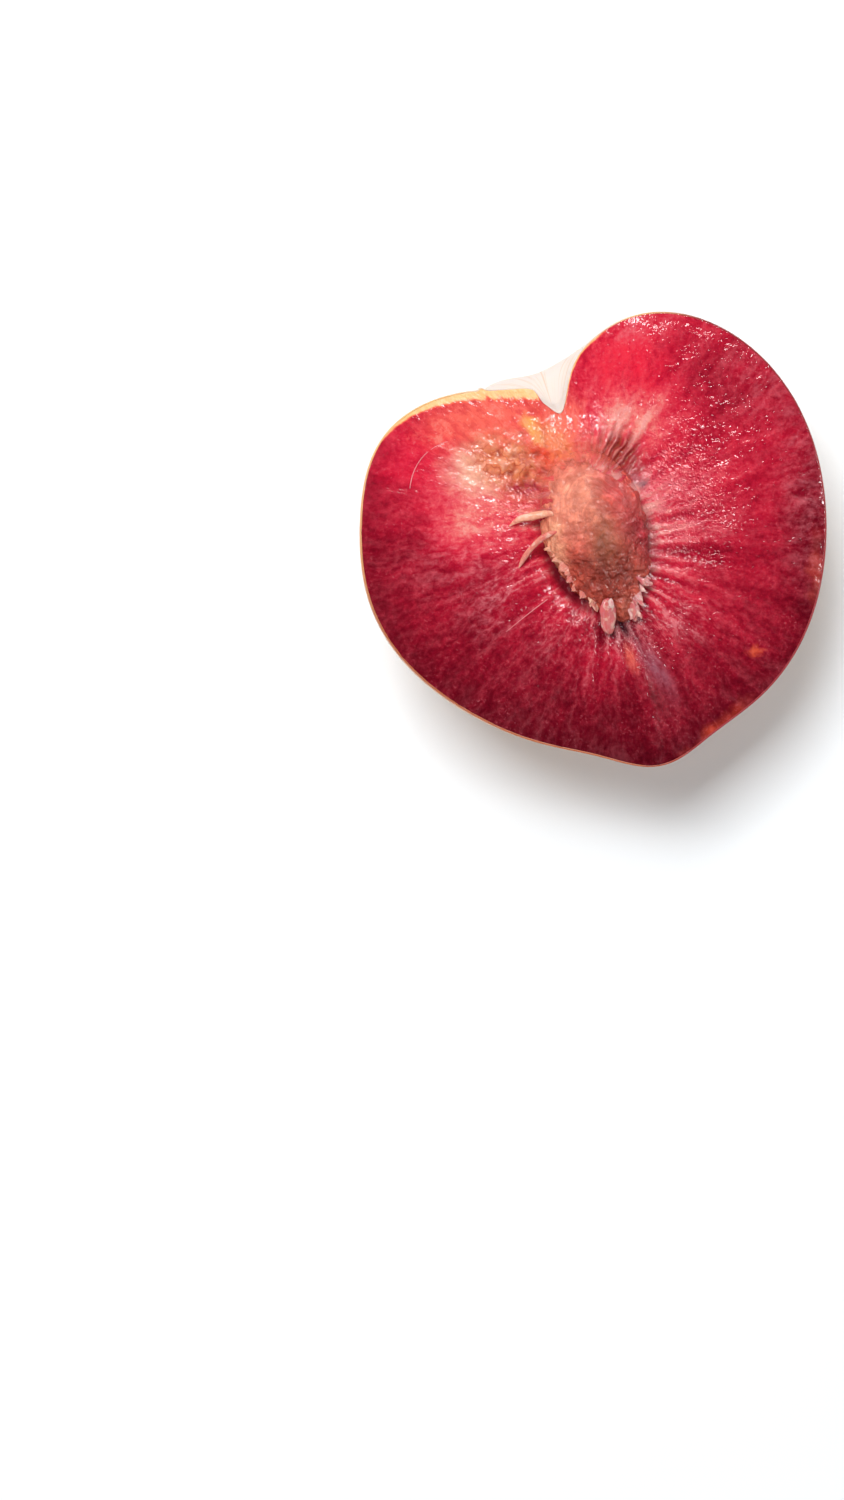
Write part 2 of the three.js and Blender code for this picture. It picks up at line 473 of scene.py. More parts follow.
# how many mm past the ragged edge of that flesh a place on the stone lies
def clingDepth(across, along):
    rags = roughNoise(stack(across, along, 0 * across) / cling["ragSize"], 3)
    right = along + cling["slope"] * np.maximum(across, cling["left"]) - cling["line"]
    outward = np.hypot(across / stone["halfWidth"], along / stone["halfLength"]) - cling["margin"]
    left = outward * stone["halfWidth"] - 4 * (1 - smoothStep(along, 1, 4))
    return np.maximum(right, left) + cling["rags"] * rags


# under the stone the face sinks to the stone's lower half, less a gap; where flesh clings to the stone it
# climbs over the upper half instead
def besideOrOver(height, relief, across, along):
    narrow = 1 + stone["taper"] * along / stone["halfLength"]
    reach = (across / (stone["halfWidth"] * narrow)) ** 2 + (along / stone["halfLength"]) ** 2
    upper = stone["halfThickness"] * narrow * np.sqrt(np.maximum(1 - reach, 0))
    lower = stone["halfThickness"] * narrow * np.sqrt(np.maximum(1 - flesh["socketWidth"] * reach, 0))
    lip = (1 + stone["lift"] + flesh["coverThickness"]) * np.exp(-5 * np.maximum(reach - 1, 0)) - 1
    over = np.maximum(height, lip + upper + 0.5 * relief)
    under = np.minimum(height, stone["lift"] - lower - flesh["socketGap"])
    return np.where(clingDepth(across, along) > 0, over, np.where(lower > 0, under, height))


# the seam from the stone to the blossom tip: x on it for a y, as a parabola from its upper end
seam = {"top": (3.9, -8.6), "slope": 0.42, "bend": 0.0093, "depth": 0.12, "width": 0.5}


def seamOffset(x, y):
    down = seam["top"][1] - y
    return x - (seam["top"][0] + seam["slope"] * down - seam["bend"] * down**2), down


# ridges with rounded crests along the lines that leave the stone: 0.5 - 1.5 sqrt(noise^2 + 0.006), weaker
# on the left and by the stem
def fleshRidge(x, y, ring, line):
    places = stack(np.cos(line) * flesh["ridgesRound"], np.sin(line) * flesh["ridgesRound"], ring * 0.9)
    share = (0.4 + 0.6 * smoothStep(x, -4, 5)) * (1 - 0.75 * softSpot(x, y, *flesh["calmPlace"]))
    return share * (0.5 - 1.5 * np.sqrt(slopeNoise(places) ** 2 + 0.006))


# fine height of the face: ridges, grain, slow waves and torn places; also gives the ridges and the torn
# height by themselves
def faceRelief(x, y, ring, line):
    lines = stack(np.cos(line), np.sin(line), 0 * line)
    level = stack(0 * ring, 0 * ring, ring)
    flat = stack(x, y, 0 * x)
    ridge = fleshRidge(x, y, ring, line)
    fineRidge = slopeNoise(lines * flesh["fineRidgesRound"] + level * 2.0)
    near = np.exp(-np.maximum(ring - firstRing, 0) / flesh["ridgeReach"])
    height = flesh["ridgeHeight"] * ridge * near
    height += flesh["fineRidgeHeight"] * fineRidge * (0.2 + 0.8 * near)
    height += flesh["grainHeight"] * roughNoise(flat / flesh["grainSize"], 2)
    height += flesh["waveHeight"] * slopeNoise(flat / flesh["waveLength"])
    folds = np.cos(flesh["foldsRound"] * line + flesh["foldWander"] * slopeNoise(flat / flesh["foldSize"]))
    folds += 0.5 * slopeNoise(flat / (flesh["foldSize"] / 2))
    rags = roughNoise(flat / flesh["ragSize"], 3)
    torn = flesh["foldHeight"] * folds * softSpot(x, y, *dents["tornFold"][:3]) ** 1.6
    torn += flesh["patchRags"] * rags * softSpot(x, y, *dents["brownPatch"][:3])
    torn += flesh["collarRags"] * rags * softSpot(x, y, *dents["collar"][:3])
    offset, down = seamOffset(x, y)
    groove = np.exp(-((offset / seam["width"]) ** 2)) * smoothStep(down, -1.0, 2.0)
    return height + torn - seam["depth"] * groove, ridge, torn


# how much of the yellow band there is at a bearing and a distance from the rim: it widens to the stem
# hollow, and a narrow one follows beyond the hollow
def bandShare(bearing, rimDistance):
    degrees = np.degrees(bearing)
    start, stop, fade = band["start"], band["stop"], band["fadeOut"]
    full, gone = bandEdge
    width = band["width"] * smoothStep(degrees, start, band["full"]) + 0.01
    here = plateau(degrees, start, start + band["fadeIn"], stop - fade, stop + fade)
    here = here * (1 - smoothStep(rimDistance, full * width, gone * width))
    flank = plateau(degrees, *flankBand["bearings"])
    flank = flank * (1 - smoothStep(rimDistance, full * flankBand["width"], gone * flankBand["width"]))
    return here + flank


# distance to the skin's outside, with the torn step and a small knob, fuller below the rim behind the stem
# hollow, and drawn in at the rim on the left, where a strip of the outside shows from above
def skinRadius(bearing, back):
    degrees = np.degrees(bearing)
    drawnIn = strip["width"] * plateau(degrees, *strip["bearings"]) * np.exp(-back / strip["depth"])
    knob = np.exp(-(((degrees - nub["bearing"]) / nub["spread"]) ** 2) - back / nub["depth"])
    aside = (degrees - hollowBack["bearing"]) / hollowBack["spread"]
    below = (back - hollowBack["depth"]) / hollowBack["reach"]
    fuller = np.exp(-(aside**2) - below**2) * smoothStep(back, 0, 0.2)
    radius = fruitRadius(direction(bearing, back)) + tearStep(bearing, back) - drawnIn
    return radius + nub["height"] * knob + hollowBack["height"] * fuller


# rows run from the bottom up inside the skin (-1 to 0) and from the rim in to the middle of the face
# (0 to 1), close together at the rim
def fleshPiece():
    rows = np.concatenate([
        np.linspace(-1, -0.08, flesh["underRows"]),
        np.linspace(-0.06, 0, flesh["rimRows"])[:-1],
        np.linspace(0, 0.8, flesh["faceRows"])[:-1],
        np.linspace(0.8, 1, flesh["middleRows"]),
    ])
    columns = crowdedBearings(flesh["columns"])
    row, bearing = sleeveParameters(rows, columns)
    back = np.maximum(-row, 0) * math.pi / 2
    share = 1 - np.maximum(row, 0)
    radius = skinRadius(bearing, back) - flesh["underSkin"]
    points = direction(bearing, back) * (radius * share)[:, None]
    x, y = points[:, 0], points[:, 1]
    across, along = besideStone(x, y)
    ring, line = stoneFlow(across, along)
    rimDistance = radius * (1 - share)
    yellow = bandShare(bearing, rimDistance)
    relief, ridge, torn = faceRelief(x, y, ring, line)
    height = -fruit["rimDrop"] * share ** fruit["rimSharpness"] - moatDepth(x, y, across, along)
    height -= sum(depth * softSpot(x, y, *spot) for *spot, depth in dents.values())
    height += relief * smoothStep(rimDistance, 0, 1.0) - band["drop"] * yellow
    height = besideOrOver(height, relief, across, along)
    rimBelow = fruit["rimDrop"] + band["drop"] * bandShare(bearing, 0)
    below = points[:, 2] - rimBelow * np.exp(-back / fruit["rimFade"])
    points[:, 2] = np.where(row >= 0, height, below)
    offset, down = seamOffset(x, y)
    marks = {
        "face": stack(x, y, 0 * x),
        "flow": stack(np.cos(line), np.sin(line), ring),
        "seamPlace": stack(offset, down, 0 * x),
        "rimDistance": rimDistance,
        "yellowBand": yellow,
        "ridge": ridge,
        "torn": torn,
    }
    faces = sleeveFaces(1, len(rows) - 2, len(columns))
    makePiece("plum_half_flesh", points, faces, marks, fleshMaterial(), "plum_flesh")
    return points


fleshLook = {
    "level": 0.44,  # tone in the middle of the face, from 0 deep to 1 pale
    # the tone gained to the stem is partly the flesh's own colour and partly painted light, brighter
    # towards the stem end
    "perMm": 0.0105,  # tone gained to the stem
    "nearStone": 0.3,
    "nearFade": 2.4,
    "rimShade": 0.08,
    "rimWidth": 4.5,
    "roughness": 0.11,
    "wetSmoother": 0.06,
    "dryRougher": 0.25,
    "bump": 1.0,
    "bumpDepth": 0.0005,
    "ior": 1.36,
    "seep": 0.12,
    "seepShares": (1.0, 0.2, 0.15),
}
fleshGrain = {  # how much each noise changes the tone, and how much more near the stone
    "mottle": (0.28, 0.24),
    "grain": (0.26, -0.1),
    "cells": (0.55, -0.1),
}
fleshTones = [  # from the deepest red to the palest coral
    (0.00, tint(80, 4, 18)),
    (0.20, tint(110, 6, 26)),
    (0.35, tint(144, 13, 37)),
    (0.50, tint(180, 20, 48)),
    (0.65, tint(211, 36, 62)),
    (0.78, tint(230, 68, 84)),
    (0.90, tint(242, 112, 110)),
    (1.00, tint(248, 160, 146)),
]
toneSpots = {  # middle, half sizes, turn, how much paler
    "leftOfStone": ((-15.2, 5.2), (12.5, 8), -12, 0.31),
    "belowLeft": ((-8, -6), (10, 7), 40, 0.07),
    "rightLobeFoot": ((6, 17.2), (10, 7), 10, 0.32),
    "rightOfStone": ((11, 6), (9, 9), 0, 0.03),
    "belowRight": ((12, -8), (10, 8), -30, 0.05),
    "below": ((0, -14), (8, 7), 0, 0.12),
    "tipShadow": ((2.4, -9.4), (6, 4.5), 0, -0.34),
    "upperRight": ((15, 22), (15, 14), 0, -0.25),
    "leftRim": ((-27, 0), (8, 12), 0, -0.06),
    "rightRim": ((27, 5), (7, 22), 0, -0.18),
    "farLeft": ((-17.8, 1.5), (6, 5), 0, 0.19),
}
fleshPatches = {  # middle, half sizes, turn, colour, strength
    "rightLobeRed": ((3.5, 24), (9, 8), 0, (240, 30, 60), 0.65),
    "leftLobeRed": ((-21, 13), (10, 7), 25, (234, 30, 64), 0.8),
    "leftLobeCoral": ((-14.0, 16.4), (12, 6.0), 8, (253, 106, 92), 1.2),
    "creamPatch": ((-15.6, 10.0), (6.0, 5.0), -5, (250, 182, 158), 1.1),
    "peachShoulder": ((-9.4, 7.8), (6.5, 4.0), -30, (220, 96, 82), 0.8),
    "brownPatch": ((-11.6, 11.2), (7.4, 5.0), -20, (232, 130, 86), 1.2),
    "foldBrown": ((2.6, 11.6), (5.2, 4.6), -24, (170, 46, 50), 1.3),
    "stemFlap": ((-5.2, 15.4), (5.2, 7.2), 0, (252, 108, 88), 1.1),
    "yellowStreak": ((-7.9, 14.6), (4.2, 1.5), -58, (250, 172, 92), 1.4),
    "stoneEnd": ((-3.0, 11.4), (6.5, 4.2), 17, (216, 94, 78), 0.85),
    "flapOrange": ((-6.0, 13.6), (3.6, 4.4), 12, (243, 128, 82), 1.15),
    "flapRed": ((-7.5, 12.0), (2.4, 1.7), -40, (226, 70, 42), 1.1),
    # painted shade in the hollow left of the stone, over the dent of the same name
    "leftHollowAndShade": ((-9.4, 8.0), (4.2, 1.7), -20, (180, 36, 56), 1.0),
    # painted shadow at the edge of the torn fold beside the stone
    "foldEdgeShadow": ((5.0, 8.8), (1.2, 1.8), 0, (116, 50, 66), 0.8),
    "orangeStar": ((19.9, -12.8), (2.0, 0.8), 15, (214, 78, 54), 0.6),
    "orangeStarArm": ((19.7, -12.6), (0.7, 1.7), -20, (220, 84, 54), 0.6),
    "tipTint": ((15.2, -23.2), (8.0, 2.2), 42, (206, 74, 50), 0.55),
    "cheekTint": ((28.0, -2.8), (1.6, 7.5), 0, (196, 70, 52), 0.45),
}
# the mauve veil is partly the pale cell walls of the flesh and partly painted sheen of its wet surface
paleAndSheenVeils = {  # middle, half sizes, turn, strength of the mauve wet veil
    "upperRight": ((21.5, 21.5), (13, 7), -48, 0.17),
    "rightSide": ((27, 8), (6, 18), 0, 0.26),
    "lobeTop": ((4, 28.5), (9, 3.5), 0, 0.25),
    "left": ((-15, -1), (14, 10), 0, 0.25),
    "rightOfStone": ((12, 4), (10, 9), 0, 0.17),
    "lobeFoot": ((4, 17), (7, 5), 0, 0.4),
    "belowStone": ((-1, -11.5), (12, 8), 0, 0.24),
    "lowerRight": ((10.5, -8.2), (6.5, 3.8), -42, 0.4),
    "lowerLeft": ((-13, -7.5), (8, 5), 35, 0.35),
}
markPlaces = {  # middle, half sizes and turn of places with marks of their own
    "veins": ((-11.4, 10.6), (8.0, 4.6), -20),
    "flecks": ((-15, 15.4), (13, 6.5), 8),
    "blots": ((5, 24), (12, 9), 0),
    # where the painted shade in the crease round the stone is deeper
    "leftCreaseShade": ((-4.4, -4.2), (4.5, 7.5), 28),
    "dryLeft": ((-19.0, 10.0), (6.0, 7.0), 0),
}
seamMarks = {  # middle beside and along the seam, half sizes, turn
    "film": ((1.0, 6.2), (2.2, 6.4), -20),
    "coralStreak": ((-1.8, 4.9), (1.1, 3.2), 0),
    # painted shade of a slit below the stone's tip
    "slitShade": ((-1.3, 0.6), (0.9, 3.0), 0),
    "dry": ((0.0, 9.0), (1.6, 11.0), 0),
}
wetness = {  # middle, half sizes, turn, how much the surface glints there
    "rightOfStone": ((11, 6), (12, 12), 0, 0.6),
    "upperRight": ((15, 17), (15, 13), 0, 0.24),
    "tornTop": ((-6, 11), (12, 5.5), 0, 0.2),
    "nearSeam": ((6, -12), (8, 9), 0, 0.2),
    "leftOfStone": ((-11, 3), (9, 9), 0, 0.15),
}


# soft spots added up, each times its amount
def spotSum(place, spots):
    return sum(place.spot(*spot) * amount for *spot, amount in spots.values())


# deep red flesh: a tone from deep to pale, raised near the stone and the stem, the rise to the stem partly
# painted light, then named patches, some of them painted shade, the yellow band, the seam's film, painted
# shade in the crease round the stone, and a mauve veil, partly pale flesh and partly painted sheen, in
# grains drawn out along the lines that leave the stone
def fleshMaterial():
    material, nodes = newMaterial("plum_flesh_wet")
    face = attribute(nodes, "face", "Vector")
    flow = attribute(nodes, "flow", "Vector")
    ridge = attribute(nodes, "ridge", "Fac")
    torn = attribute(nodes, "torn", "Fac")
    rim = attribute(nodes, "rimDistance", "Fac")
    upward = face.part("Y")
    ring = flow.part("Z")
    place = face.wandering(0.4, 2.6).wandering(1.5, 0.9)
    bent = flow.wandering(6.0, 0.1, 0.08)
    mottle = bent.drawn((11, 11, 5)).noise(1.0, 3, 0.55)
    grain = bent.drawn((30, 30, 11)).noise(1.0, 3, 0.55)
    streak = bent.drawn((13, 13, 1.4)).noise(1.0, 2, 0.5)
    cells = face.wandering(1.2, 0.8).noise(1.3, 4, 0.77)
    near = nodes.maths("EXPONENT", nodes.maths("MAXIMUM", ring - firstRing, 0.0) * -fleshLook["nearFade"])
    tone = fleshLook["level"] + upward * fleshLook["perMm"] + near * fleshLook["nearStone"]
    tone = tone + spotSum(place, toneSpots) - rim.step(fleshLook["rimWidth"], 0.0) * fleshLook["rimShade"]
    for noise, (share, more) in zip((mottle, grain, cells), fleshGrain.values()):
        tone = tone + (noise - 0.5) * (share + near * more)
    # ridge crests near the stone are painted paler and their valleys darker: partly the flesh's own colour,
    # partly painted highlight and shade on the ridges
    tone = tone + (streak - 0.5) * near * 0.8 + ridge * near * 0.7
    ragged = (mottle + grain + cells * 0.5).step(1.0, 1.55)
    veins = nodes.maths("ABSOLUTE", face.wandering(0.8, 1.2).noise(0.5, 2, 0.5) - 0.5)
    tornPlace = place.spot(*markPlaces["veins"])
    flecks = (mottle + cells).step(1.0, 1.25) * place.spot(*markPlaces["flecks"])
    blots = (mottle + cells).step(0.98, 0.75) * place.spot(*markPlaces["blots"])
    yellow = attribute(nodes, "yellowBand", "Fac")
    yellow = yellow * 1.2 + (mottle + grain + cells - 1.5) * yellow.step(0.0, 0.3)
    seamPlace = attribute(nodes, "seamPlace", "Vector").wandering(0.5, 1.2)
    seamFilm = seamPlace.spot(*seamMarks["film"]) * (0.4 + ragged)
    wrinkle = nodes.maths("ABSOLUTE", flow.wandering(5.0, 0.2).drawn((18, 18, 11)).noise(1.0, 2, 0.5) - 0.5)
    wrinkle = wrinkle.step(0.12, 0.0)
    paleAndSheenVeil = spotSum(place, paleAndSheenVeils) + near * 0.18 + 0.06
    veilGrain = grain * 0.4 + cells * 0.3 + streak * 0.2 + wrinkle * 0.04 + (ridge - 0.1) * near * 0.6
    veilGrain = veilGrain.step(0.38, 0.62)
    specks = face.wandering(2.0, 0.8).noise(2.6, 2, 0.6).step(0.56, 0.8) * mottle.step(0.4, 0.62)
    # painted shade in the crease where the flesh meets the stone, on its lower part
    paintedCreaseShade = (ring - firstRing).step(0.14, 0.02) * upward.step(8.0, 3.0)
    layers = [
        (paint, place.spot(*spot) * (0.65 + ragged * 0.9) * strength)
        for *spot, paint, strength in fleshPatches.values()
    ]
    layers += [
        ((250, 190, 160), veins.step(0.07, 0.16) * tornPlace * 0.45),  # between the veins of the torn place
        ((192, 80, 50), veins.step(0.035, 0.0) * tornPlace * 1.1),
        ((255, 176, 156), flecks * 0.5),
        ((190, 8, 46), blots * 0.5),
        ((174, 68, 50), torn.step(0.0, -0.4) * 0.85),  # low and high in torn flesh
        ((246, 166, 150), torn.step(0.1, 0.5) * 0.4),
        ((254, 104, 74), yellow.step(0.05, 0.5) * 0.8),  # a coral fringe, then the yellow band
        ((253, 196, 126), yellow.step(0.4, 1.0)),
        ((150, 84, 100), seamFilm * 0.65),
        ((222, 120, 132), specks * (1 - near) * 0.4),
        # the mauve veil far from the stone, then near it: partly pale flesh, partly painted sheen
        ((222, 138, 150), paleAndSheenVeil * veilGrain * (1 - near)),  # the veil far from the stone, then near it
        ((246, 172, 172), paleAndSheenVeil * veilGrain.step(0.35, 1.0) * near * 1.8),
        # painted shade in the crease round the stone, deeper on the lower left where the flesh sinks below
        # it
        ((146, 30, 46), paintedCreaseShade * 0.65),  # the dark crease round the stone, deeper on the left
        ((112, 18, 32), paintedCreaseShade * face.spot(*markPlaces["leftCreaseShade"]) * 1.2),
        ((226, 98, 86), seamPlace.spot(*seamMarks["coralStreak"]) * (0.3 + ragged)),
        # painted shade of a slit below the stone's tip
        ((58, 8, 22), seamPlace.spot(*seamMarks["slitShade"]) * 1.1),
    ]
    colour = nodes.painted(tone.ramp(fleshTones), layers)
    wet = spotSum(place, wetness) + 0.02
    dry = seamPlace.spot(*seamMarks["dry"]) + yellow.step(0.2, 0.8)
    dry = dry + face.spot(*markPlaces["dryLeft"]) * 0.9
    roughness = fleshLook["roughness"] - nodes.maths("MINIMUM", wet, 0.6) * fleshLook["wetSmoother"]
    roughness = roughness + dry * fleshLook["dryRougher"]
    swell = bent.drawn((15, 15, 5)).noise(1.0, 2, 0.5)
    pebbles = bent.drawn((60, 60, 34)).noise(1.0, 1, 0.5)
    beads = face.wandering(0.7, 1.6).noise(1.9, 1, 0.5)
    fine = swell * (0.8 + near * 0.9) + wrinkle * paleAndSheenVeil * 0.25 + pebbles * 0.3 + beads * (0.2 + near * 1.4)
    fine = fine * (wet + 0.26) * (1 - near * 0.4)
    dressMoist(nodes, fleshLook, colour, roughness, fine)
    return material


# stray pale hairs lying on the face, each bent between three places
hairs = {
    "curled": ((-18.4, 14.1), (-23.6, 12.9), (-24.2, 7.8)),
    "straight": ((-12.0, -10.4), (-9.4, -8.2), (-6.7, -6.2)),
}
hairLook = {"thick": 0.02, "above": 0.01, "colour": (232, 132, 140), "roughness": 0.3}


# one pale pink all over
def hairMaterial():
    material, nodes = newMaterial("plum_hair_pale")
    dress(nodes, {"Base Color": tint(*hairLook["colour"]), "Roughness": hairLook["roughness"]})
    return material


# each of a hair's places lies a little above the nearest point of the face, not of the flesh under the skin
def hairPiece(fleshPoints):
    places = np.array(list(hairs.values())).reshape(-1, 2)
    onFace = fleshPoints[fleshPoints[:, 2] >= -3]
    apart = np.linalg.norm(onFace[None, :, :2] - places[:, None], axis=-1)
    height = onFace[np.argmin(apart, 1), 2] + hairLook["above"]
    root, bend, end = np.column_stack([places, height]).reshape(len(hairs), 3, 3).transpose(1, 0, 2)
    thick = np.full(len(hairs), hairLook["thick"])
    points, faces = strandPoints(bentLines(root, bend, end), thick, np.ones(len(hairs)))
    makePiece("plum_half_hair", points, faces, {}, hairMaterial(), "plum_flesh")


# skin: a thin closed shell round the flesh, with a rounded upper edge

skin = {
    "columns": 400,
    "outerRows": 110,
    "edgeRows": 7,
    "innerRows": 8,
    "edgeWaver": 0.08,
    "waversRound": 20,
    "edgeBead": 0.25,  # how far the edge rounds up, in thicknesses
    "roughness": 0.34,
    "bloomRougher": 0.25,
    "bump": 0.25,
    "bumpDepth": 0.0002,
    "ior": 1.42,
    "seep": 0.1,
    "seepShares": (1.0, 0.5, 0.2),
}
edgeReds = (6, 26, 150, 176)  # bearings between which the cut edge of the skin is red, not yellow
edgeAmbers = (-120, -60)  # bearings over which it turns from amber to yellow


# rows run from the bottom up outside (0 to 1), over the edge (1 to 2) and down inside (2 to 3)
def skinPiece():
    rows = np.concatenate([
        np.linspace(0, 1, skin["outerRows"])[:-1],
        np.linspace(1, 2, skin["edgeRows"])[:-1],
        np.linspace(2, 3, skin["innerRows"]),
    ])
    columns = crowdedBearings(skin["columns"])
    row, bearing = sleeveParameters(rows, columns)
    thick = flesh["skinThickness"]
    over = np.clip(row - 1, 0, 1) * math.pi
    back = np.where(row < 1, 1 - row, np.maximum(row - 2, 0)) ** 1.5 * math.pi / 2
    inset = 0.98 * thick * (1 - np.cos(over)) / 2
    towards = direction(bearing, back)
    points = towards * (skinRadius(bearing, back) - inset)[:, None]
    waver = skin["edgeWaver"] * slopeNoise(direction(bearing) * skin["waversRound"])
    drop = fruit["rimDrop"] + band["drop"] * bandShare(bearing, 0) - waver
    points[:, 2] += skin["edgeBead"] * thick * np.sin(over) - drop * np.exp(-back / fruit["rimFade"])
    stemAxis = direction(math.radians(fruit["swellings"]["stemHollow"][0]))
    sideAxis = np.array([stemAxis[1], -stemAxis[0], 0.0])
    meridian = np.arctan2(towards @ sideAxis, towards[:, 2])
    fromStem = np.arccos(np.clip(towards @ stemAxis, -1, 1))
    degrees = np.degrees(bearing)
    fromTop = np.where(degrees > 90, degrees - 360, degrees)
    marks = {
        "fruitPlace": stack(np.cos(meridian), np.sin(meridian), fromStem),
        "edge": smoothStep(-back, -0.05, 0) + np.clip(row - 1, 0, 1),
        "edgeRed": plateau(degrees, *edgeReds),
        "edgeAmber": 1 - smoothStep(fromTop, *edgeAmbers),
    }
    faces = sleeveFaces(1, len(rows) - 2, len(columns))
    makePiece("plum_half_skin", points, faces, marks, skinMaterial(), "plum_flesh")


# amber skin: yellow to orange blush in broad patches, thin streaks from stem to tip, a pale bloom that is
# thickest in the stem hollow, russet dots, and a cut edge that turns from amber to yellow and then red
def skinMaterial():
    material, nodes = newMaterial("plum_skin_amber")
    place = nodes.add("TexCoord", out="Object").scaled((1000, 1000, 1000))
    fruitPlace = attribute(nodes, "fruitPlace", "Vector")
    edge = attribute(nodes, "edge", "Fac")
    fromStem = fruitPlace.part("Z")
    broad = place.noise(0.055, 3, 0.55)
    mottle = place.noise(0.35, 4, 0.6)
    streak = fruitPlace.scaled((14, 14, 1.6)).noise(1.0, 4, 0.6)
    blush = (broad - 0.5) * 1.9 + 0.42 + (streak - 0.5) * 0.5 + (mottle - 0.5) * 0.4
    colour = blush.ramp([
        (0.0, tint(238, 184, 108)),
        (0.45, tint(232, 158, 84)),
        (0.7, tint(220, 124, 64)),
        (1.0, tint(192, 78, 48)),
    ])
    dots = place.add("TexVoronoi", {}, {"Vector": place, "Scale": 0.55}, out="Distance").step(0.16, 0.08)
    dots = dots * place.noise(0.4, 1).step(0.48, 0.6)
    bloom = (mottle * 0.8 + broad * 0.5 + streak * 0.35 - 0.62).step(0.05, 0.45) * 0.5
    hollow = (fromStem + (mottle - 0.5) * 0.2).step(0.54, 0.24)
    bloom = bloom + hollow * (0.75 + mottle * 0.5)
    cutEdge = edge.step(0.3, 1.0) * (1 - hollow)
    colour = nodes.painted(colour, [
        ((150, 92, 50), dots * 0.7),
        ((240, 224, 214), bloom),
        ((232, 190, 156), streak.step(0.54, 0.7) * hollow * 0.8),
        ((246, 190, 128), cutEdge),
        ((184, 98, 56), cutEdge * attribute(nodes, "edgeAmber", "Fac")),
        ((154, 40, 46), edge.step(0.1, 0.7) * attribute(nodes, "edgeRed", "Fac")),
    ])
    height = mottle * 0.4 + place.noise(3.0, 2, 0.5) * 0.3 - dots * 0.5
    dressMoist(nodes, skin, colour, skin["roughness"] + bloom * skin["bloomRougher"], height)
    return material


# stone: a pointed almond with pits below and arcs of fibre above

stoneLook = {
    "columns": 340,
    "rows": 220,
    "fibreHeight": 0.12,
    "fibresRound": 13,
    "arcsAcross": 20,
    "arcsAlong": 1.6,
    "arcWander": 0.05,
    "pitHeight": 0.34,
    "pitSize": 1.4,
    "lumpHeight": 0.6,
    "lumpSize": 4.0,
    "arcsFrom": (-0.25, 0.4),  # shares of the half length over which pits give way to arcs
    "ground": (198, 82, 64),
    "roughness": 0.08,
    "bump": 1.0,
    "bumpDepth": 0.0008,
    "ior": 1.43,
    "seep": 0.15,
    "seepShares": (1.0, 0.4, 0.25),
}


# a point of the smooth stone: a ball stretched to its half sizes, narrower to the blossom end, with a beak
def stonePoint(towards):
    x, y, z = towards[..., 0], towards[..., 1], towards[..., 2]
    narrow = 1 + stone["taper"] * y
    atTip = np.exp(-stone["beakSharpness"] * (1 + y))
    return stack(
        x * stone["halfWidth"] * narrow * (1 - stone["pointed"] * atTip),
        y * stone["halfLength"] - stone["beak"] * atTip,
        z * stone["halfThickness"] * narrow,
    )


# rows run from under the stone up to its top; the relief moves each point out along its direction
def stonePiece():
    rows = np.linspace(-math.pi / 2, math.pi / 2, stoneLook["rows"])
    columns = np.linspace(-math.pi, math.pi, stoneLook["columns"], endpoint=False)
    row, bearing = sleeveParameters(rows, columns)
    towards = direction(bearing, -row)
    y = towards[:, 1]
    smooth = stonePoint(towards)
    ring, line = stoneFlow(smooth[:, 0], smooth[:, 1])
    line = line + 0.25 * slopeNoise(smooth / 3)
    fibrePlace = stack(np.cos(line), np.sin(line) * np.tanh(3 * ring), 0.12 * ring)
    fibre = roughNoise(fibrePlace * stoneLook["fibresRound"], 2)
    reach = np.hypot(smooth[:, 0] / stone["halfWidth"], smooth[:, 1] / stone["halfLength"])
    reach = reach + stoneLook["arcWander"] * slopeNoise(smooth / 2.4)
    arcWay = stack(np.cos(line), np.sin(line)) * stoneLook["arcsAlong"]
    arcPlace = stack(reach * stoneLook["arcsAcross"], arcWay[:, 0], arcWay[:, 1])
    arcs = roughNoise(arcPlace, 2)
    pits = roughNoise(smooth / stoneLook["pitSize"], 3)
    lumps = slopeNoise(smooth / stoneLook["lumpSize"])
    upper = smoothStep(y + 0.15 * lumps, *stoneLook["arcsFrom"])
    relief = stoneLook["fibreHeight"] * (0.35 * fibre * (1 - upper) + arcs * upper)
    relief += stoneLook["pitHeight"] * pits * (1.0 - 0.7 * upper) + stoneLook["lumpHeight"] * lumps
    relief *= 1 - smoothStep(clingDepth(smooth[:, 0], smooth[:, 1]), -0.3, 0.1)
    points = smooth + towards * relief[:, None]
    marks = {
        "stonePlace": smooth,
        "fibrePlace": fibrePlace,
        "arcPlace": arcPlace,
        "relief": arcs * upper + pits * (1 - upper),
        "upper": upper,
    }
    faces = sleeveFaces(1, len(rows) - 2, len(columns))
    makePiece("plum_stone_body", fromStone(points), faces, marks, stoneMaterial(), "plum_stone")


stonePatches = {  # middle across and along, half sizes, turn, colour, strength
    # peach upper left: partly the stone's own colour, partly painted light
    "upperLeftPaleAndLit": ((-2.4, 5.0), (6.4, 7.8), 0, (236, 144, 117), 1.1),
    "upperRight": ((3.4, 4.0), (4.0, 6.0), 0, (216, 76, 72), 0.9),
    # brown lower part: partly the stone's own colour, partly painted shade
    "lowerBrownAndShaded": ((-0.5, -5.5), (6.5, 6.0), 0, (142, 48, 34), 1.0),
    "oliveHeart": ((-0.3, -1.2), (3.0, 5.4), -12, (154, 84, 54), 0.85),
    "redFlank": ((5.2, -2.0), (3.8, 7.5), 12, (174, 40, 48), 1.1),
    "oliveTip": ((0.4, -10.6), (3.0, 3.0), 0, (164, 98, 76), 0.35),
    "leftEdge": ((-6.2, 0.5), (2.6, 6.0), 0, (246, 172, 136), 1.1),
    "stemEnd": ((0.0, 10.0), (8.0, 3.6), 0, (230, 116, 96), 0.8),
}
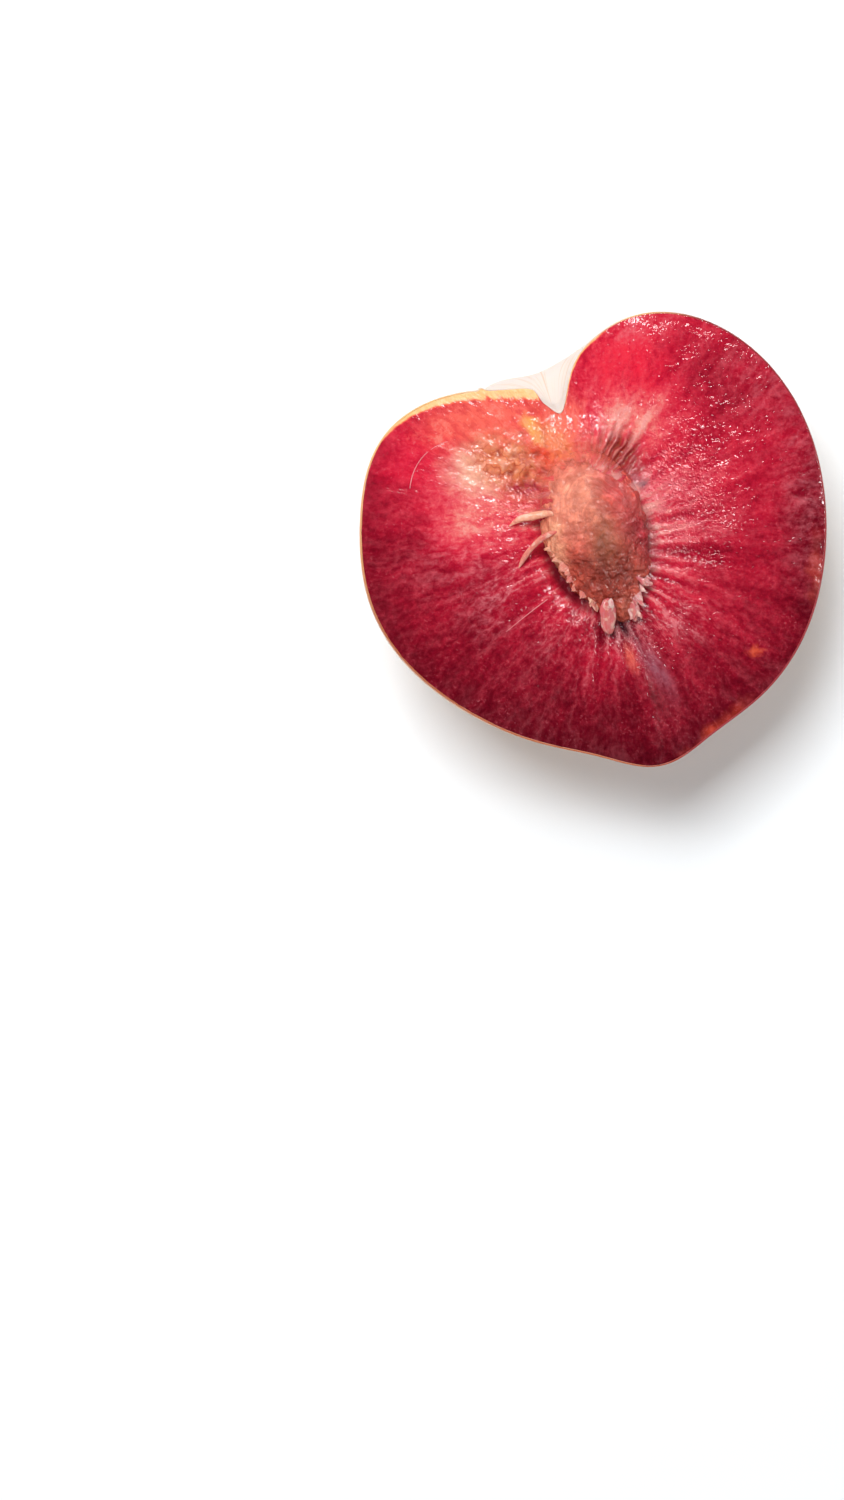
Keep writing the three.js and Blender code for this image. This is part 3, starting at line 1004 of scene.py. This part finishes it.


# warm brown stone: its ground under named paler, darker and redder places, the paler upper left and the
# darker lower part partly painted light and shade, all times a shade that follows the relief, the fibres
# and three sizes of speckle
def stoneMaterial():
    material, nodes = newMaterial("plum_stone_fibrous")
    place = attribute(nodes, "stonePlace", "Vector")
    relief = attribute(nodes, "relief", "Fac")
    upper = attribute(nodes, "upper", "Fac")
    fibre = attribute(nodes, "fibrePlace", "Vector").noise(20, 2, 0.5) * (1 - upper)
    fibre = fibre + attribute(nodes, "arcPlace", "Vector").noise(1.2, 3, 0.6) * upper
    flat = place.scaled((1, 1, 0)).wandering(0.5, 2.2).wandering(1.6, 0.8)
    blotch = place.noise(0.65, 2, 0.5)
    speckle = place.noise(1.1, 3, 0.6)
    fine = place.noise(3.2, 2, 0.6)
    tone = fibre + relief * 0.22 + (blotch - 0.5) * (2.0 - upper * 0.3)
    tone = tone + (speckle - 0.5) * (1.1 - upper * 0.8) + (fine - 0.5) * 0.4
    shade = tone.ramp([
        (0.0, (0.76, 0.64, 0.62, 1)),
        (0.5, (0.96, 0.86, 0.85, 1)),
        (0.75, (1.2, 1.2, 1.2, 1)),
        (1.0, (1.5, 1.8, 1.85, 1)),
    ])
    colour = nodes.painted(tint(*stoneLook["ground"]), [
        (paint, flat.spot(*spot) * (0.7 + speckle * 0.6) * strength)
        for *spot, paint, strength in stonePatches.values()
    ])
    colour = nodes.mixed(colour, shade, 1.0, "MULTIPLY")
    height = place.noise(1.1, 1, 0.4) + place.noise(1.9, 1, 0.4) * 0.7 + fine * 0.3
    height = height * (1 - upper * 0.65) + fibre * upper * 0.35
    dressMoist(nodes, stoneLook, colour, stoneLook["roughness"] + (fine - 0.5) * 0.08, height)
    return material


# fibres: two torn edges with ragged teeth round the blossom end of the stone, and named strands

tornEdges = {
    "left": {
        "bearings": (216, 272), "teeth": 11, "reach": (0.3, 1.3), "lift": 0.34, "thick": 0.46,
        "droop": 0.45, "kind": (0.1, 0.5), "seed": 3,
    },
    "right": {
        "bearings": (122, 172), "teeth": 9, "reach": (0.5, 1.3), "lift": 0.36, "thick": 0.42,
        "droop": 0.25, "kind": (0.7, 1.0), "seed": 8,
    },
}
tornShape = {
    "stations": 420, "sides": 14, "root": 0.9, "base": 0.15, "rags": 0.3, "ragsPerTooth": 3.5,
    "apart": 0.35, "flanks": (0.4, 1.1), "lengths": (0.5, 1), "rise": (-0.25, 0.35), "endTaper": 0.04,
}
# bearing on the stone, length, curl, droop, root half width, lift, flatness, kind, number in a tuft
strands = {
    "longFibreUpper": (-66, 4.7, -1.8, 2.1, 0.66, 0.5, 0.75, 0.1, 1),
    "longFibreLower": (-81, 4.7, -3.6, 2.3, 0.5, 0.5, 0.75, 0.45, 1),
    "petal": (205, 3.6, -0.8, 1.3, 1.3, 0.48, 0.5, 0.7, 1),
    "petalRags": (206, 3.1, -0.9, 0.9, 0.9, 0.4, 0.6, 0.82, 4),
    "pointedTuft": (222, 1.3, -0.5, 0.3, 0.6, 0.3, 0.5, 0.3, 3),
    "whiteTuftLow": (161, 1.9, 0.65, 0.2, 0.8, 0.36, 0.45, 0.93, 5),
    "whiteTuftMiddle": (148, 1.5, 0.26, 0.1, 0.5, 0.4, 0.5, 0.84, 3),
    "whiteTuftHigh": (139, 1.4, -0.12, 0.0, 0.6, 0.44, 0.5, 0.88, 4),
}
tuftSpread = {"bearing": 2.6, "length": (0.6, 1.1), "curl": 0.35, "lift": 0.05, "thick": 0.6, "kind": 0.12}
strandShape = {"steps": 16, "sides": 12, "tip": 0.06, "root": 0.9, "rise": 0.8, "sway": 0.7, "uneven": 0.3}
fibreLook = {
    "roughness": 0.16,
    "bump": 0.5,
    "bumpDepth": 0.0003,
    "ior": 1.38,
    "seep": 0.3,
    "seepShares": (1.0, 0.5, 0.4),
}


# lines along root (1-t)^2 + bend 2t(1-t) + end t^2
def bentLines(root, bend, end):
    t = np.linspace(0, 1, strandShape["steps"])[None, :, None]
    return root[:, None] * (1 - t) ** 2 + bend[:, None] * 2 * t * (1 - t) + end[:, None] * t**2


# strands along lines that sway, with an uneven oval section that swells from the root as
# (1-t)^0.72 (0.8 + t) sqrt(1 - exp(-5t)), then thins to the tip
def strandPoints(line, thick, flatness):
    t = np.linspace(0, 1, strandShape["steps"])[None, :, None]
    number = np.arange(len(line))[:, None] * 7.3
    sway = [slopeNoise(stack(t[..., 0] * 2.5, number, k)) for k in (0.5, 3.5)]
    line = line + stack(*sway, 0) * t * strandShape["sway"] * thick[:, None, None]
    along = np.gradient(line, axis=1)
    along /= np.linalg.norm(along, axis=-1, keepdims=True)
    side = np.cross(along, (0, 0, 1))
    side /= np.linalg.norm(side, axis=-1, keepdims=True)
    over = np.cross(side, along) * flatness[:, None, None]
    uneven = 1 + strandShape["uneven"] * slopeNoise(stack(t[..., 0] * 4, number, 6.5))[..., None]
    swelling = (1 - t) ** 0.72 * (0.8 + t) * np.sqrt(1 - np.exp(-5 * t))
    girth = thick[:, None, None] * uneven * swelling + strandShape["tip"] * (0.3 + 0.7 * t)
    angle = np.linspace(0, 2 * math.pi, strandShape["sides"], endpoint=False)[:, None]
    section = side[:, :, None] * np.cos(angle) + over[:, :, None] * np.sin(angle)
    rings = line[:, :, None] + girth[:, :, None] * section
    tip = line[:, -1:] + along[:, -1:] * strandShape["tip"]
    points = np.concatenate([line[:, :1], rings.reshape(len(line), -1, 3), tip], 1)
    return points.reshape(-1, 3), sleeveFaces(len(line), strandShape["steps"], strandShape["sides"])


# share of the way to the tip, kind of strand, and place across it, on every point of a number of strands
def strandMarks(kind):
    t = np.linspace(0, 1, strandShape["steps"])
    way = np.concatenate([[0], np.repeat(t, strandShape["sides"]), [1]])
    angle = np.linspace(0, 2 * math.pi, strandShape["sides"], endpoint=False)
    side = np.concatenate([[0], np.tile(np.cos(angle), strandShape["steps"]), [0]])
    return stack(np.tile(way, len(kind)), np.repeat(kind, len(way)), np.tile(side, len(kind)))


# places on the stone's flank at bearings, and the ways out, level with the face
def stoneFlank(bearings, lift):
    out = direction(np.radians(bearings))
    way = stack(out[..., 0], out[..., 1], lift)
    return stonePoint(way / np.linalg.norm(way, axis=-1, keepdims=True)), out


# a thin flange along the stone's flank: its reach is the tallest of a row of uneven triangular teeth, and
# its section is an oval from its root inside the stone to its edge
def tornEdge(edge, firstPoint):
    draw = np.random.default_rng(edge["seed"])
    teeth = edge["teeth"]
    u = np.linspace(0, 1, tornShape["stations"])
    shift = draw.uniform(-tornShape["apart"], tornShape["apart"], teeth)
    middles = (np.arange(teeth) + 0.5 + shift) / teeth
    past = u[:, None] - middles
    before, after = draw.uniform(*tornShape["flanks"], (2, teeth)) / teeth
    tooth = np.clip(1 + np.minimum(past / before, -past / after), 0, 1)
    lengths = draw.uniform(*edge["reach"], teeth) * draw.uniform(*tornShape["lengths"], teeth)
    heights = tooth * lengths
    pick = heights.argmax(1)
    rags = np.abs(slopeNoise(stack(u * teeth * tornShape["ragsPerTooth"], edge["seed"], 0.5)))
    taper = np.sqrt(np.clip(np.minimum(u, 1 - u) / tornShape["endTaper"], 0.0004, 1))
    reach = tornShape["root"] + tornShape["base"] + heights.max(1) + tornShape["rags"] * rags
    reach = reach * taper
    rise = draw.uniform(*tornShape["rise"], teeth)[pick] * tooth.max(1)
    flank, out = stoneFlank(edge["bearings"][0] + u * np.ptp(edge["bearings"]), edge["lift"])
    angle = -np.linspace(0, 2 * math.pi, tornShape["sides"], endpoint=False)
    s = 0.5 + 0.5 * np.cos(angle)
    roots = flank - out * tornShape["root"]
    place = roots[:, None] + out[:, None] * (reach[:, None] * s)[..., None]
    place[..., 2] += edge["thick"] * taper[:, None] * np.sin(angle) * (1 - 0.75 * s)
    place[..., 2] += (rise[:, None] - edge["droop"] * heights.max(1)[:, None]) * s**2
    points = np.concatenate([roots[:1], place.reshape(-1, 3), roots[-1:]])
    kinds = draw.uniform(*edge["kind"], teeth)[pick]
    way = np.concatenate([[0], np.tile(s * 0.8, len(u)), [0]])
    kindOf = np.concatenate([kinds[:1], np.repeat(kinds, len(s)), kinds[-1:]])
    side = np.concatenate([[0], np.repeat(u * teeth, len(s)), [0]])
    return points, stack(way, kindOf, side), sleeveFaces(1, len(u), len(s), firstPoint)


# every tuft is a number of strands like the named one, a little apart
def namedStrands():
    draw = np.random.default_rng(4)
    rows = np.array(list(strands.values()))
    rows = np.repeat(rows, rows[:, -1].astype(int), 0)
    bearing, length, curl, droop, thick, lift, flatness, kind, number = rows.T
    apart = draw.normal(size=(4, len(rows))) * (number > 1)
    bearing = bearing + tuftSpread["bearing"] * apart[0]
    curl = curl + tuftSpread["curl"] * apart[1]
    lift = lift + tuftSpread["lift"] * apart[2]
    kind = np.clip(kind + tuftSpread["kind"] * apart[3], 0, 1)
    length = length * np.where(number > 1, draw.uniform(*tuftSpread["length"], len(rows)), 1)
    thick = thick * np.where(number > 1, tuftSpread["thick"], 1)
    flank, out = stoneFlank(bearing, lift)
    sideways = stack(out[:, 1], -out[:, 0], 0 * bearing)
    rise = strandShape["rise"] * smoothStep(lift, 0.44, 0.5)
    root = flank - out * strandShape["root"] + stack(0, 0, rise)
    bend = flank + out * (length / 2)[:, None]
    end = flank + out * length[:, None] + sideways * curl[:, None] - stack(0, 0, droop)
    points, faces = strandPoints(bentLines(root, bend, end), thick, flatness)
    return points, strandMarks(kind), faces


# the strands and both torn edges as one mesh
def fibresPiece():
    points, strandsOf, faces = namedStrands()
    for edge in tornEdges.values():
        morePoints, moreMarks, moreFaces = tornEdge(edge, len(points))
        points = np.concatenate([points, morePoints])
        strandsOf = np.concatenate([strandsOf, moreMarks])
        faces += moreFaces
    marks = {"strand": strandsOf}
    makePiece("plum_stone_fibres", fromStone(points), faces, marks, fibreMaterial(), "plum_stone")


# torn fibres: salmon at the root, paler to the tip, some pink and some nearly white
def fibreMaterial():
    material, nodes = newMaterial("plum_fibre_torn")
    strand = attribute(nodes, "strand", "Vector")
    place = nodes.add("TexCoord", out="Object").scaled((1000, 1000, 1000))
    speckle = place.noise(2.5, 3, 0.6)
    streak = strand.scaled((1.4, 60, 4)).noise(1.0, 3, 0.6)
    wisps = place.noise(1.3, 2, 0.5)
    kind = strand.part("Y") + (speckle - 0.5) * 0.5 + (streak - 0.5) * 0.7
    colour = kind.ramp([
        (0.0, tint(250, 184, 150)),
        (0.4, tint(230, 132, 114)),
        (0.75, tint(212, 98, 106)),
        (1.0, tint(242, 188, 186)),
    ])
    colour = nodes.painted(colour, [
        ((250, 202, 182), strand.part("X").step(0.2, 1.0) * streak.step(0.4, 0.7) * 0.7),
        ((190, 84, 72), streak.step(0.44, 0.3) * 0.35),
        ((222, 92, 94), wisps.step(0.48, 0.32) * 0.5),
        ((255, 226, 206), wisps.step(0.52, 0.7) * 0.5),
    ])
    dressMoist(nodes, fibreLook, colour, fibreLook["roughness"] + (speckle - 0.5) * 0.2, wisps)
    return material


# stage: a pale floor, a soft steep key from the top left, small lamps for wet glints, and a fill all round
# that is dark overhead

stage = {
    "floorSize": 6.0,
    "floorShade": (0.855, 0.9, 0.93),
    "floorRoughness": 0.8,
    "lights": {  # place, size, watts, and whether it shades or only mirrors in wet surfaces
        "key": ((-0.32, 0.41, 1.34), 0.5, 17.5, True),
        "glintRight": ((0.97, 0.26, 0.82), 0.18, 6.0, False),
        "glintLeft": ((-0.75, 0.42, 0.97), 0.16, 6.0, False),
        "glintTop": ((0.26, 0.93, 0.88), 0.36, 17.0, False),
        "glintHigh": ((0.3, 0.78, 1.16), 0.2, 4.5, False),
    },
    "fill": 0.88,
    "overhead": 0.04,
    "overheadFrom": (0.55, 0.85),  # heights between which it darkens, 1 straight up
}


# a square floor, lamps that face the middle of the cut, and a sky that fades from the fill to the overhead
def makeStage():
    half = stage["floorSize"] / 2
    mesh = bpy.data.meshes.new("floor")
    corners = [(-half, -half, 0), (half, -half, 0), (half, half, 0), (-half, half, 0)]
    mesh.from_pydata(corners, [], [(0, 1, 2, 3)])
    material, nodes = newMaterial("floor_pale")
    dress(nodes, {"Base Color": (*stage["floorShade"], 1), "Roughness": stage["floorRoughness"]})
    mesh.materials.append(material)
    floor = bpy.data.objects.new("floor", mesh)
    bpy.context.scene.collection.objects.link(floor)
    for name, (place, size, watts, shades) in stage["lights"].items():
        light = bpy.data.lights.new(name, "AREA")
        light.size = size
        light.energy = watts
        lamp = bpy.data.objects.new(name, light)
        lamp.location = place
        lamp.visible_diffuse = shades
        lamp.visible_glossy = not shades
        aim = Vector((0, 0, fruit["restHeight"] * mm)) - lamp.location
        lamp.rotation_euler = aim.to_track_quat("-Z", "Y").to_euler()
        bpy.context.scene.collection.objects.link(lamp)
    world = bpy.data.worlds.new("studio")
    world.use_nodes = True
    world.node_tree.nodes.clear()
    sky = Socket(world.node_tree)
    dim = sky.add("TexCoord", out="Generated").part("Z").step(*stage["overheadFrom"])
    level = stage["fill"] + dim * (stage["overhead"] - stage["fill"])
    backdrop = sky.add("Background", {}, {"Color": level, "Strength": 1.0})
    sky.add("OutputWorld", {}, {"Surface": backdrop})
    bpy.context.scene.world = world


# camera: straight down, far enough for the face's scale in the picture
def makeCamera():
    lens = {"focal": 70.0, "sensor": 36.0}
    camera = bpy.data.cameras.new("camera")
    camera.lens = lens["focal"]
    camera.sensor_width = lens["sensor"]
    camera.clip_start = 0.01
    perMm = photo["pixelsPerMm"]
    distance = lens["focal"] / lens["sensor"] * photo["height"] / perMm
    x = (photo["width"] / 2 - photo["faceMiddle"][0]) / perMm
    y = (photo["faceMiddle"][1] - photo["height"] / 2) / perMm
    cameraObject = bpy.data.objects.new("camera", camera)
    cameraObject.location = Vector((x, y, fruit["restHeight"] + distance)) * mm
    bpy.context.scene.collection.objects.link(cameraObject)
    bpy.context.scene.camera = cameraObject


makeCamera()
makeStage()
print("camera, floor and lights placed")
hairPiece(fleshPiece())
skinPiece()
stonePiece()
fibresPiece()
bpy.context.scene.view_settings.view_transform = "Standard"
